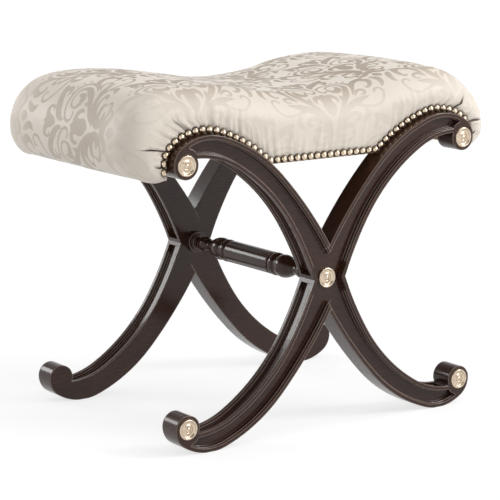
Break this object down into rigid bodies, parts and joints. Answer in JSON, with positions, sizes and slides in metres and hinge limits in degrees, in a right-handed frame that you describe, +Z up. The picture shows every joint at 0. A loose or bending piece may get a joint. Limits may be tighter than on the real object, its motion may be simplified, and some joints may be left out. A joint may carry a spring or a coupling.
{
  "type": "upholstered X-frame stool",
  "caption": "Saddle-seat stool on two crossed S-leg frames in dark lacquered wood, with a turned stretcher, cream damask cover, domed nails and brass roundels.",
  "frame": {"origin": "on the floor, under the middle of the stool", "axes": "+Z up, +Y along the stretcher from the front frame to the rear frame, +X across the crossed legs to the right"},
  "size_m": [0.6502, 0.3958, 0.518],
  "materials": {
    "espresso_lacquer": "gloss lacquer",
    "pale_brass": "polished",
    "champagne_nail": "polished",
    "damask": "satin weave",
    "foam": "open cell",
    "jute_webbing": "coarse weave",
    "cambric": "matt",
    "plywood": "sawn",
    "beech": "planed",
    "zinc_steel": "zinc plated"
  },
  "bodies": {
    "root": {"front_leg_rising_right": "espresso_lacquer", "front_leg_rising_left": "espresso_lacquer", "rear_leg_rising_right": "espresso_lacquer", "rear_leg_rising_left": "espresso_lacquer", "stretcher": "espresso_lacquer", "front_centre_roundel": "pale_brass", "rear_centre_roundel": "pale_brass", "stretcher_bolts": "zinc_steel", "stretcher_washers": "zinc_steel", "front_seat_board": "plywood", "rear_seat_board": "plywood", "left_side_rail": "beech", "right_side_rail": "beech", "left_bearer": "beech", "right_bearer": "beech", "seat_dowels": "beech", "front_seat_screws": "zinc_steel", "rear_seat_screws": "zinc_steel", "webbing": "jute_webbing", "seat_foam": "foam", "seat_cover": "damask", "dust_cover": "cambric", "front_nails": "champagne_nail", "rear_nails": "champagne_nail", "front_upper_left_roundel": "pale_brass", "front_upper_right_roundel": "pale_brass", "front_lower_left_roundel": "pale_brass", "front_lower_right_roundel": "pale_brass", "rear_upper_left_roundel": "pale_brass", "rear_upper_right_roundel": "pale_brass", "rear_lower_left_roundel": "pale_brass", "rear_lower_right_roundel": "pale_brass"}
  },
  "joints": []
}
